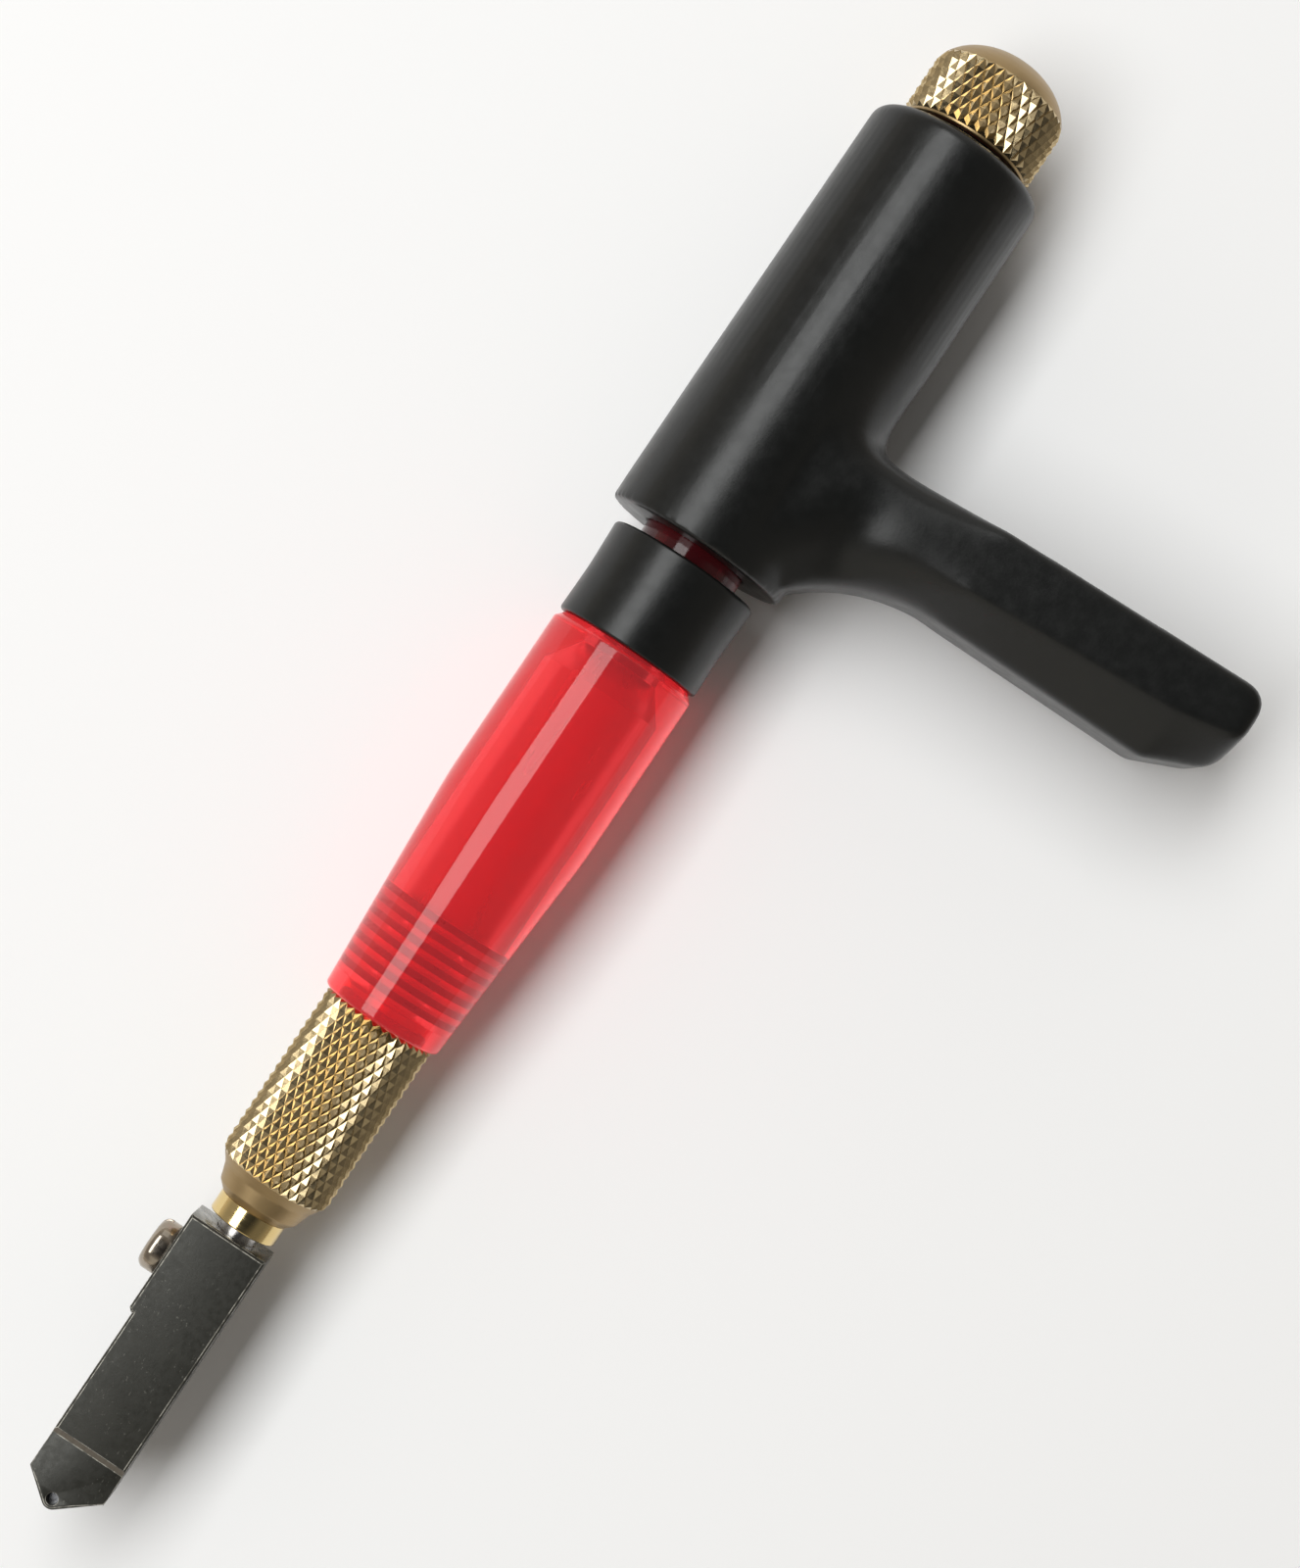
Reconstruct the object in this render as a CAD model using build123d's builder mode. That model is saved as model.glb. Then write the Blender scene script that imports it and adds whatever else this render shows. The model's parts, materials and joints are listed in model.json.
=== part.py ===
from build123d import *
import os

# Oil-fed glass cutter with a T-shaped grip, lying on its side.
# X runs up the tool's axis from the cutting wheel to the filler cap, the grip's arm
# points to -Y, and +Z is up. The origin is on the axis, level with the wheel's edge.
# Millimetres. Stations named *_x are distances up the axis.

os.makedirs("parts", exist_ok=True)

running_gap = 0.05        # radial clearance of a shaft that turns or slides
seat_gap = 0.05           # clearance left between faces that rest on each other
cut_reach = 20.0          # length of a cut that passes right through a piece
run_out = 1.0             # how far a bore's cutter runs past the end of the piece

# cutting wheel and its axle
wheel_radius = 1.5
wheel_width = 1.0
wheel_shoulder = 0.2      # how far the bevelled edge stands out past the flat flanks
axle_radius = 0.62
axle_gap = 0.04           # the wheel's clearance on the axle
axle_half_length = 2.4
axle_offset = 0.4         # axle's distance from the tool's axis, towards +Y

# steel head
head_top_x = 31.6
head_half_width = 4.04
head_half_thickness = 3.45
nose_radius = 1.1
shoulder_left_x = 3.0     # where the V meets the +Y edge
shoulder_right_x = 3.7    # where it meets the -Y edge
nose_half_thickness = 2.85
nose_step_x = 6.75        # middle of the step that thins the nose
nose_step_slant = 7.0     # degrees
wheel_slot_width = 1.2
wheel_slot_x = 3.4        # closed end of the slot that takes the wheel
block_x = 20.5            # where the wider upper block starts
block_left = 4.54         # how far the upper block reaches towards +Y
block_corner = 0.35
head_edge = 0.25          # chamfer round the broad faces
head_bore_x = 17.0        # bottom of the hole for the stem
oil_hole_radius = 0.5

# retaining screw in the side of the head
screw_x = 26.7
screw_head_radius = 2.7
screw_head_height = 2.15
screw_edge_radius = 0.9
screw_slot_width = 0.8
screw_slot_depth = 1.0
screw_shank_radius = 1.25
screw_dog_radius = 0.8
screw_dog_end = 1.42      # distance of the dog's tip from the tool's axis
screw_dog_shoulder = 2.275
swivel_angle = 15.0       # the head swivels this far each way
dog_half_angle = 30.5     # half of the angle that the dog takes up in the stem's slot

# stem that carries the head
stem_radius = 2.075
stem_bottom_x = 17.6
stem_shoulder_x = 44.0
stem_upper_radius = 1.7
tip_bottom_x = 52.5
tip_radius = 0.8
tip_top_x = 56.5
stem_edge = 0.3
wick_bore_radius = 0.7
wick_bore_top_x = 50.0
wick_radius = 0.65
wick_bottom_x = 18.0
wick_top_x = 49.0
feed_hole_x = 46.5        # cross hole that lets the oil in to the wick
feed_hole_radius = 0.4
stop_slot_bottom = 1.35   # radius at the bottom of the slot that the screw's dog runs in
stop_slot_play = 0.2
clip_x = 41.0
clip_thickness = 0.6
clip_radius = 3.0
clip_mouth = 2.4
clip_groove_radius = 1.65

# neck bush and its seal
press_travel = 0.7        # how far the head can be pressed towards the barrel
bush_bottom_x = head_top_x + press_travel + 0.4
bush_radius = 3.62
bush_spigot_radius = 2.88
bush_top_x = 38.85
bush_edge = 0.15
neck_oring_x = 39.45
neck_oring_minor = 0.5
seal_washer_x = 40.2

# brass ferrule
nose_bottom_x = 34.85
nose_bottom_radius = 3.65
nose_arc = (35.9, 4.42)   # point that the nose's rounding passes through
nose_waist = (37.4, 4.78)
knurl_bottom_x = 38.8
knurl_radius = 6.03
ferrule_top_x = 57.0
ferrule_edge = 0.3
barrel_oring_groove = 1.3
barrel_oring_seat = 3.95
barrel_oring_minor = 0.47
barrel_oring_fit = 0.02
spigot_radius = 4.9       # crest of the thread that screws into the barrel
spigot_top_x = 68.5
spigot_edge = 0.5
chamber_radius = 3.2

# valve inside the ferrule
valve_seat_x = 54.0
valve_seat_top_x = 58.0
valve_bore_radius = 1.2
valve_cone_x = 56.9
plug_radius = 3.15
ball_radius = 2.0
ball_x = 58.56
retainer_x = 65.8
retainer_top_x = 68.3

# springs
spring_wire_radius = 0.3
spring_radius = 2.55
spring_turns = 7
valve_wire_radius = 0.2
valve_spring_radius = 1.5
valve_spring_turns = 6
valve_spring_bottom_x = 60.35
valve_spring_top_x = 65.5

# barrel
barrel_bottom_radius = 6.5
barrel_edge = 0.4
taper_top_x = 80.8        # straight from here to the shoulder
shoulder_x = 99.4
shoulder_radius = 8.0
shoulder_drop = 0.7
barrel_top_x = 100.2
neck_radius = 5.55        # slim upper tube that carries the ring, the grip and the cap
neck_top_x = 159.9
spigot_hole_radius = spigot_radius + seat_gap
spigot_hole_top_x = 69.0
reservoir_radius = 4.65
reservoir_top_x = 95.5
filler_radius = 3.0
filler_bottom_x = 98.7

# lock ring
ring_bottom_x = barrel_top_x + seat_gap
ring_top_x = 110.5
ring_travel = 1.5         # how far the ring can be screwed up towards the grip
ring_top_radius = 8.07
ring_waist_radius = 7.92
ring_bottom_radius = 7.95
ring_edge = 0.35
ring_rim = 0.9            # plain height at each end of the waisted side

# O-rings in the ring and the grip
oring_minor_radius = 0.45
oring_groove_radius = 6.52
oring_groove_width = 1.1
ring_oring_x = 105.4
grip_oring_x = (119.0, 153.0)

# grip
grip_bottom_x = ring_top_x + ring_travel + 0.3
grip_top_x = 159.2
grip_radius = 9.72
grip_top_radius = 9.55
grip_taper_x = 126.6
arm_half_depth = 8.5
grip_rim_fillet = 1.4
arm_root_x = 129.4        # palm side of the arm at the sleeve
arm_root_depth = 4.0      # how far the arm's root runs on inside the sleeve
arm_end_x = 130.8         # and at its end
arm_keel_x = 119.3        # finger side
arm_end = 54.0            # reach of the arm from the tool's axis
arm_keel_end = 47.0
arm_keel_start = 22.0
arm_end_keel_x = 122.4
arm_ridge_x = 122.7       # edge between the flat side and the slope down to the keel
arm_ridge_start = 21.0
arm_ridge_end_x = 124.6
arm_end_ridge_x = 125.8
keel_half_depth = 4.1
keel_waist = (117.3, -14.8)   # the finger side curves from the arm through here
keel_foot = (113.1, -8.92)    # to here on the sleeve
ridge_waist = (120.9, -11.0)
ridge_foot = (115.6, -4.2)
palm_corner = 2.4
keel_corner = 3.2
ridge_corner = 1.4
arm_edge_radius = 1.0
arm_edge_start = 7.0      # the arm's edges are rounded beyond this distance from the axis

# filler cap
cap_bottom_x = 160.0
cap_radius = 7.35
cap_rim_radius = 7.0
cap_rim_edge = 0.2
cap_rim_step = 0.35       # height of the step from the rim out to the knurl
cap_rim_top_x = 161.0
cap_shoulder_x = 165.3
cap_apex_x = 170.3
cap_recess_x = 161.0
cap_recess_radius = 6.2
stud_radius = filler_radius - running_gap
stud_bottom_x = 153.0
stud_edge = 0.4
gasket_inner_radius = stud_radius + seat_gap
gasket_radius = 5.4


def profile(*points):
    """Closed outline of (station, radius) points on the plane through the tool's axis."""
    with BuildSketch(Plane.XY) as outline:
        with BuildLine():
            Polyline(*points, close=True)
        make_face()
    return outline.sketch


def tube(start_x, end_x, inner, outer):
    """Outline of a plain tube around the tool's axis."""
    return profile((start_x, inner), (end_x, inner), (end_x, outer), (start_x, outer))


def torus_ring(station, inner, minor):
    """O-ring around the tool's axis."""
    with BuildPart() as oring:
        with BuildSketch(Plane.XY):
            with Locations((station, inner + minor)):
                Circle(minor)
        revolve(axis=Axis.X)
    return oring.part


def coil_spring(start_x, end_x, radius, wire_radius, turns):
    """Round-wire spring around the tool's axis."""
    length = end_x - start_x
    with BuildPart() as spring:
        with BuildLine() as path:
            Helix(length / turns, length, radius, center=(start_x, 0, 0), direction=(1, 0, 0))
        with BuildSketch(path.line ^ 0):
            Circle(wire_radius)
        sweep(is_frenet=True)
    return spring.part


def save(part, label):
    part.label = label
    export_step(part, f"parts/{label}.step")


# Cutting wheel: a small hardened disc with a V edge, turning on the axle.
axle_axis = Axis((wheel_radius, axle_offset, 0), (0, 0, 1))
wheel_plane = Plane(origin=(wheel_radius, axle_offset, 0), x_dir=(1, 0, 0), z_dir=(0, -1, 0))
flank_radius = wheel_radius - wheel_shoulder
with BuildPart() as cutting_wheel:
    with BuildSketch(wheel_plane):
        with BuildLine():
            Polyline(
                (axle_radius + axle_gap, -wheel_width / 2),
                (flank_radius, -wheel_width / 2),
                (wheel_radius, 0),
                (flank_radius, wheel_width / 2),
                (axle_radius + axle_gap, wheel_width / 2),
                close=True,
            )
        make_face()
    revolve(axis=axle_axis)
save(cutting_wheel.part, "cutting_wheel")

with BuildPart() as wheel_axle:
    with BuildSketch(Plane(origin=(wheel_radius, axle_offset, -axle_half_length))):
        Circle(axle_radius)
    extrude(amount=2 * axle_half_length)
save(wheel_axle.part, "wheel_axle")

# Steel head: a slab with a V nose, thinned near the wheel, and a wider block above.
with BuildPart() as cutter_head:
    with BuildSketch(Plane.XY.offset(-head_half_thickness)):
        with BuildLine():
            CenterArc((wheel_radius, axle_offset), nose_radius, 0, 360)
            Polyline(
                (shoulder_left_x, head_half_width),
                (head_top_x, head_half_width),
                (head_top_x, -head_half_width),
                (shoulder_right_x, -head_half_width),
            )
        make_hull()
        with BuildLine():
            Polyline(
                (block_x, 0),
                (head_top_x, 0),
                (head_top_x, block_left),
                (block_x + block_corner, block_left),
                (block_x, block_left - block_corner),
                close=True,
            )
        make_face()
    extrude(amount=2 * head_half_thickness)
    for broad_face in cutter_head.faces().filter_by(Axis.Z):
        chamfer(broad_face.edges(), head_edge)
    step_plane = Plane(origin=(nose_step_x, 0, 0), x_dir=(1, 0, 0), z_dir=(0, -1, 0))
    step_plane = step_plane.rotated((0, nose_step_slant, 0))
    step_rise = head_half_thickness - nose_half_thickness
    for side in (1, -1):
        with BuildSketch(step_plane):
            with BuildLine():
                Polyline(
                    (-cut_reach, side * nose_half_thickness),
                    (-step_rise / 2, side * nose_half_thickness),
                    (step_rise / 2, side * head_half_thickness),
                    (step_rise / 2, side * (head_half_thickness + run_out)),
                    (-cut_reach, side * (head_half_thickness + run_out)),
                    close=True,
                )
            make_face()
        extrude(amount=cut_reach, both=True, mode=Mode.SUBTRACT)
    with BuildSketch(Plane.XY.offset(-wheel_slot_width / 2)):
        with Locations((wheel_slot_x, 0)):
            Rectangle(cut_reach, cut_reach, align=(Align.MAX, Align.CENTER))
    extrude(amount=wheel_slot_width, mode=Mode.SUBTRACT)
    with Locations(Location((wheel_radius, axle_offset, 0))):
        Hole(axle_radius, depth=2 * head_half_thickness)
    stem_bore = tube(head_bore_x, head_top_x + run_out, 0, stem_radius + running_gap)
    revolve(stem_bore, axis=Axis.X, mode=Mode.SUBTRACT)
    oil_hole = tube(wheel_slot_x - run_out, head_bore_x, 0, oil_hole_radius)
    revolve(oil_hole, axis=Axis.X, mode=Mode.SUBTRACT)
    with BuildSketch(Plane(origin=(screw_x, 0, 0), z_dir=(0, 1, 0))):
        Circle(screw_shank_radius)
    extrude(amount=cut_reach, mode=Mode.SUBTRACT)
save(cutter_head.part, "cutter_head")

# Retaining screw: slotted pan head, shank and a dog that runs in the stem's slot.
with BuildPart() as head_screw:
    with BuildSketch(Plane(origin=(screw_x, block_left, 0), z_dir=(0, 1, 0))):
        Circle(screw_head_radius)
    extrude(amount=screw_head_height)
    fillet(head_screw.edges().sort_by(Axis.Y)[-1], radius=screw_edge_radius)
    with BuildSketch(Plane(origin=(screw_x, screw_dog_shoulder, 0), z_dir=(0, 1, 0))):
        Circle(screw_shank_radius)
    extrude(amount=block_left - screw_dog_shoulder)
    with BuildSketch(Plane(origin=(screw_x, screw_dog_end, 0), z_dir=(0, 1, 0))):
        Circle(screw_dog_radius)
    extrude(amount=screw_dog_shoulder - screw_dog_end)
    with BuildSketch(Plane(origin=(screw_x, block_left + screw_head_height, 0), z_dir=(0, 1, 0))):
        Rectangle(screw_slot_width, 3 * screw_head_radius)
    extrude(amount=-screw_slot_depth, mode=Mode.SUBTRACT)
save(head_screw.part, "head_screw")

# Stem: hollow for the wick, slotted for the screw's dog, grooved for the clip.
stop_angle = 2 * (swivel_angle + dog_half_angle)
with BuildPart() as head_stem:
    revolve(
        profile(
            (stem_bottom_x, 0),
            (stem_bottom_x, stem_radius - stem_edge),
            (stem_bottom_x + stem_edge, stem_radius),
            (stem_shoulder_x, stem_radius),
            (stem_shoulder_x, stem_upper_radius),
            (tip_bottom_x, stem_upper_radius),
            (tip_bottom_x, tip_radius),
            (tip_top_x, tip_radius),
            (tip_top_x, 0),
        ),
        axis=Axis.X,
    )
    wick_bore = tube(stem_bottom_x - run_out, wick_bore_top_x, 0, wick_bore_radius)
    revolve(wick_bore, axis=Axis.X, mode=Mode.SUBTRACT)
    clip_top_x = clip_x + clip_thickness
    clip_groove = tube(clip_x - seat_gap, clip_top_x + seat_gap, clip_groove_radius, clip_radius)
    revolve(clip_groove, axis=Axis.X, mode=Mode.SUBTRACT)
    with BuildSketch(Plane(origin=(feed_hole_x, 0, 0), x_dir=(1, 0, 0), z_dir=(0, 1, 0))):
        Circle(feed_hole_radius)
    extrude(amount=cut_reach, both=True, mode=Mode.SUBTRACT)
    with BuildSketch(Plane.XY.rotated((-stop_angle / 2, 0, 0))):
        with Locations((screw_x, stop_slot_bottom)):
            Rectangle(2 * screw_dog_radius + stop_slot_play, stem_radius, align=(Align.CENTER, Align.MIN))
    revolve(axis=Axis.X, revolution_arc=stop_angle, mode=Mode.SUBTRACT)
save(head_stem.part, "head_stem")

with BuildPart() as oil_wick:
    revolve(tube(wick_bottom_x, wick_top_x, 0, wick_radius), axis=Axis.X)
save(oil_wick.part, "oil_wick")

# Retaining clip: an open ring snapped into the stem's groove.
with BuildPart() as stem_clip:
    with BuildSketch(Plane.YZ.offset(clip_x)):
        Circle(clip_radius)
        Circle(clip_groove_radius + seat_gap, mode=Mode.SUBTRACT)
        with Locations((0, clip_radius)):
            Rectangle(clip_mouth, 2 * clip_radius, mode=Mode.SUBTRACT)
    extrude(amount=clip_thickness)
save(stem_clip.part, "stem_clip")

# Neck bush: bright brass guide for the stem, pressed into the ferrule's nose.
bush_bore = stem_radius + running_gap
with BuildPart() as neck_bush:
    revolve(
        profile(
            (bush_bottom_x, bush_bore),
            (bush_bottom_x, bush_radius - bush_edge),
            (bush_bottom_x + bush_edge, bush_radius),
            (nose_bottom_x, bush_radius),
            (nose_bottom_x, bush_spigot_radius),
            (bush_top_x, bush_spigot_radius),
            (bush_top_x, bush_bore),
        ),
        axis=Axis.X,
    )
save(neck_bush.part, "neck_bush")

neck_oring = torus_ring(neck_oring_x, bush_bore, neck_oring_minor)
save(neck_oring, "neck_oring")

with BuildPart() as seal_washer:
    revolve(tube(seal_washer_x, clip_x - seat_gap, bush_bore, plug_radius), axis=Axis.X)
save(seal_washer.part, "seal_washer")

# Ferrule: knurled sleeve with a rounded nose below and a threaded spigot above.
with BuildPart() as ferrule:
    with BuildSketch(Plane.XY):
        with BuildLine():
            Polyline((nose_bottom_x, bush_spigot_radius), (nose_bottom_x, nose_bottom_radius))
            ThreePointArc((nose_bottom_x, nose_bottom_radius), nose_arc, nose_waist)
            Polyline(
                nose_waist,
                (knurl_bottom_x, knurl_radius),
                (ferrule_top_x - ferrule_edge, knurl_radius),
                (ferrule_top_x, knurl_radius - ferrule_edge),
                (ferrule_top_x, barrel_oring_seat),
                (ferrule_top_x + barrel_oring_groove, barrel_oring_seat),
                (ferrule_top_x + barrel_oring_groove, spigot_radius),
                (spigot_top_x - spigot_edge, spigot_radius),
                (spigot_top_x, spigot_radius - spigot_edge),
                (spigot_top_x, chamber_radius),
                (bush_top_x, chamber_radius),
                (bush_top_x, bush_spigot_radius),
                (nose_bottom_x, bush_spigot_radius),
            )
        make_face()
    revolve(axis=Axis.X)
save(ferrule.part, "ferrule")

barrel_oring = torus_ring(
    ferrule_top_x + barrel_oring_groove / 2,
    barrel_oring_seat + barrel_oring_fit,
    barrel_oring_minor,
)
save(barrel_oring, "barrel_oring")

# Valve: plug with a conical seat, ball, spring and the drilled plug that holds them.
with BuildPart() as valve_seat:
    revolve(
        profile(
            (valve_seat_x, valve_bore_radius),
            (valve_cone_x, valve_bore_radius),
            (valve_seat_top_x, valve_bore_radius + valve_seat_top_x - valve_cone_x),
            (valve_seat_top_x, plug_radius),
            (valve_seat_x, plug_radius),
        ),
        axis=Axis.X,
    )
save(valve_seat.part, "valve_seat")

with BuildPart() as valve_ball:
    with Locations((ball_x, 0, 0)):
        Sphere(ball_radius)
save(valve_ball.part, "valve_ball")

valve_spring = coil_spring(
    valve_spring_bottom_x,
    valve_spring_top_x,
    valve_spring_radius,
    valve_wire_radius,
    valve_spring_turns,
)
save(valve_spring, "valve_spring")

with BuildPart() as spring_retainer:
    revolve(tube(retainer_x, retainer_top_x, valve_bore_radius, plug_radius), axis=Axis.X)
save(spring_retainer.part, "spring_retainer")

return_spring = coil_spring(
    clip_top_x + spring_wire_radius + seat_gap,
    valve_seat_x - spring_wire_radius - seat_gap,
    spring_radius,
    spring_wire_radius,
    spring_turns,
)
save(return_spring, "return_spring")

# Barrel: clear oil reservoir with a slim filler tube that runs up through the grip.
with BuildPart() as barrel:
    revolve(
        profile(
            (ferrule_top_x, spigot_hole_radius),
            (ferrule_top_x, barrel_bottom_radius - barrel_edge),
            (ferrule_top_x + barrel_edge, barrel_bottom_radius),
            (taper_top_x, shoulder_radius),
            (shoulder_x, shoulder_radius),
            (barrel_top_x, shoulder_radius - shoulder_drop),
            (barrel_top_x, neck_radius),
            (neck_top_x - barrel_edge, neck_radius),
            (neck_top_x, neck_radius - barrel_edge),
            (neck_top_x, filler_radius),
            (filler_bottom_x, filler_radius),
            (reservoir_top_x, reservoir_radius),
            (spigot_hole_top_x, reservoir_radius),
            (spigot_hole_top_x, spigot_hole_radius),
        ),
        axis=Axis.X,
    )
save(barrel.part, "barrel")

# Lock ring: waisted collar that screws up the filler tube to clamp the grip.
ring_bore = neck_radius + running_gap
with BuildPart() as lock_ring:
    with BuildSketch(Plane.XY):
        with BuildLine():
            Polyline(
                (ring_bottom_x + ring_rim, ring_bottom_radius),
                (ring_bottom_x + ring_edge, ring_bottom_radius),
                (ring_bottom_x, ring_bottom_radius - ring_edge),
                (ring_bottom_x, ring_bore),
                (ring_top_x, ring_bore),
                (ring_top_x, ring_top_radius - ring_edge),
                (ring_top_x - ring_edge, ring_top_radius),
                (ring_top_x - ring_rim, ring_top_radius),
            )
            ThreePointArc(
                (ring_top_x - ring_rim, ring_top_radius),
                ((ring_bottom_x + ring_top_x) / 2, ring_waist_radius),
                (ring_bottom_x + ring_rim, ring_bottom_radius),
            )
        make_face()
    revolve(axis=Axis.X)
    revolve(
        tube(
            ring_oring_x - oring_groove_width / 2,
            ring_oring_x + oring_groove_width / 2,
            neck_radius,
            oring_groove_radius,
        ),
        axis=Axis.X,
        mode=Mode.SUBTRACT,
    )
save(lock_ring.part, "lock_ring")

lock_ring_oring = torus_ring(ring_oring_x, ring_bore, oring_minor_radius)
save(lock_ring_oring, "lock_ring_oring")

# Grip: sleeve around the filler tube with one side arm, a single moulding. The arm is flat
# on the palm side, flat above and below, and slopes in to a narrower keel for the fingers.
def arm_outline(height, keel_start, keel_end, waist, foot, end_x, end_corner):
    with BuildSketch(Plane.XY.offset(height)) as outline:
        with BuildLine():
            Polyline(
                foot,
                (arm_root_x - arm_root_depth, 0),
                (arm_root_x, 0),
                (arm_root_x, -grip_radius),
                (arm_end_x, -arm_end),
                (end_x, -arm_end),
                keel_end,
                keel_start,
            )
            ThreePointArc(keel_start, waist, foot)
        make_face()
        fillet(outline.vertices().group_by(Axis.Y)[0].sort_by(Axis.X)[-1], radius=palm_corner)
        fillet(outline.vertices().group_by(Axis.Y)[0].sort_by(Axis.X)[0], radius=end_corner)
    return outline.sketch


def keel_outline(height):
    return arm_outline(
        height,
        (arm_keel_x, -arm_keel_start),
        (arm_keel_x, -arm_keel_end),
        keel_waist,
        keel_foot,
        arm_end_keel_x,
        keel_corner,
    )


def ridge_outline(height):
    return arm_outline(
        height,
        (arm_ridge_x, -arm_ridge_start),
        (arm_ridge_end_x, -arm_keel_end),
        ridge_waist,
        ridge_foot,
        arm_end_ridge_x,
        ridge_corner,
    )


with BuildPart() as grip:
    extrude(keel_outline(-keel_half_depth), amount=2 * keel_half_depth)
    for side in (1, -1):
        loft([keel_outline(side * keel_half_depth), ridge_outline(side * arm_half_depth)], ruled=True)
    with BuildSketch(Plane.XY):
        with BuildLine():
            Polyline(
                (grip_bottom_x, 0),
                (grip_bottom_x, grip_radius),
                (grip_taper_x, grip_radius),
                (grip_top_x, grip_top_radius),
                (grip_top_x, 0),
                close=True,
            )
        make_face()
    revolve(axis=Axis.X)
    outer_edges = grip.edges().group_by(Axis.Z)
    fillet(
        [e for e in outer_edges[0] + outer_edges[-1] if e.center().Y < -arm_edge_start],
        radius=arm_edge_radius,
    )
    end_rims = grip.edges().filter_by(GeomType.CIRCLE).sort_by(Axis.X)
    fillet(end_rims[-1], radius=grip_rim_fillet)
    sleeve_bore = tube(grip_bottom_x - run_out, grip_top_x + run_out, 0, ring_bore)
    revolve(sleeve_bore, axis=Axis.X, mode=Mode.SUBTRACT)
    for station in grip_oring_x:
        groove = tube(
            station - oring_groove_width / 2,
            station + oring_groove_width / 2,
            neck_radius,
            oring_groove_radius,
        )
        revolve(groove, axis=Axis.X, mode=Mode.SUBTRACT)
save(grip.part, "grip")

grip_orings = [torus_ring(station, ring_bore, oring_minor_radius) for station in grip_oring_x]
save(Compound(children=grip_orings), "grip_orings")

# Filler cap: knurled brass cap with a domed end and a threaded stud below.
with BuildPart() as filler_cap:
    with BuildSketch(Plane.XY):
        with BuildLine():
            Polyline(
                (cap_apex_x, 0),
                (stud_bottom_x, 0),
                (stud_bottom_x, stud_radius - stud_edge),
                (stud_bottom_x + stud_edge, stud_radius),
                (cap_recess_x, stud_radius),
                (cap_recess_x, cap_recess_radius),
                (cap_bottom_x, cap_recess_radius),
                (cap_bottom_x, cap_rim_radius - cap_rim_edge),
                (cap_bottom_x + cap_rim_edge, cap_rim_radius),
                (cap_rim_top_x, cap_rim_radius),
                (cap_rim_top_x + cap_rim_step, cap_radius),
                (cap_shoulder_x, cap_radius),
            )
            dome_height = cap_apex_x - cap_shoulder_x
            EllipticalCenterArc((cap_shoulder_x, 0), dome_height, cap_radius, 0, arc_size=90)
        make_face()
    revolve(axis=Axis.X)
save(filler_cap.part, "filler_cap")

with BuildPart() as cap_gasket:
    revolve(
        tube(neck_top_x + seat_gap, cap_recess_x - seat_gap, gasket_inner_radius, gasket_radius),
        axis=Axis.X,
    )
save(cap_gasket.part, "cap_gasket")
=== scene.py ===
import json
import math

import bmesh
import bpy
from mathutils import Matrix, Vector


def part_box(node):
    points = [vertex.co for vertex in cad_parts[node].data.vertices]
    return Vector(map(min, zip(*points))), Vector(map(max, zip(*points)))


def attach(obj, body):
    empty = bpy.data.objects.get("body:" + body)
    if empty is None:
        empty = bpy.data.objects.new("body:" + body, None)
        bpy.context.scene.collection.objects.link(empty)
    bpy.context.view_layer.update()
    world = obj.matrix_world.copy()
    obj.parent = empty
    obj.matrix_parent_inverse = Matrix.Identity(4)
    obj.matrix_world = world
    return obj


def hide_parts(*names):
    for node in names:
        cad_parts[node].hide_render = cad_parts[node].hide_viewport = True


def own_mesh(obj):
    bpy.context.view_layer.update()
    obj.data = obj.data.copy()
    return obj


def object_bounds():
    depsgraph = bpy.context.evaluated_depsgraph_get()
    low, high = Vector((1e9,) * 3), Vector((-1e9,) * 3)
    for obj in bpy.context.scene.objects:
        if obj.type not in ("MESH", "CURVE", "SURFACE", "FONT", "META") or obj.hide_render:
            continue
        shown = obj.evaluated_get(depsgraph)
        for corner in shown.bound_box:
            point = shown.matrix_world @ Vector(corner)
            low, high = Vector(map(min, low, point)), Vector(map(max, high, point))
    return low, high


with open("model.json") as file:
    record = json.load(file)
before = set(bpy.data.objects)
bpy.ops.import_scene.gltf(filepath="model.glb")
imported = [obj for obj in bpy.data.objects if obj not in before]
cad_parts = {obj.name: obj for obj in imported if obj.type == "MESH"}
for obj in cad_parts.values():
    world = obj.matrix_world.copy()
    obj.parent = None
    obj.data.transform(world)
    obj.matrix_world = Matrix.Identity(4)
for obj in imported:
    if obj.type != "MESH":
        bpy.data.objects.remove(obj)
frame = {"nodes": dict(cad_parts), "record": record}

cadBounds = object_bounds()
nodes = frame["nodes"]
mm = 0.001
turn = 2 * math.pi

print("frame loaded")


# node trees

class Wire:   # one output socket; masks multiply as numbers do
    def __init__(self, tree, socket):
        self.tree = tree
        self.socket = socket

    def __mul__(self, other):
        return self.tree.add("ShaderNodeMath", {"operation": "MULTIPLY"}, {0: self, 1: other})

    def __rmul__(self, other):
        return self * other


class Tree:   # a node tree, with one way to add a node
    def __init__(self, nodeTree):
        self.nodeTree = nodeTree

    def add(self, kind, settings=None, inputs=None, output=0):
        node = self.nodeTree.nodes.new(kind)
        for key, value in (settings or {}).items():
            if key == "stops":
                stops = node.color_ramp.elements
                stops.remove(stops[1])
                stops[0].position, stops[0].color = value[0]
                for level, color in value[1:]:
                    stops.new(level).color = color
            else:
                setattr(node, key, value)
        for key, value in (inputs or {}).items():
            self.feed(node.inputs[key], value)
        return Wire(self, node.outputs[output]) if node.outputs else None

    def feed(self, socket, value):
        if isinstance(value, Wire):
            self.nodeTree.links.new(value.socket, socket)
        else:
            socket.default_value = value


# camera, lights and room

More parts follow.
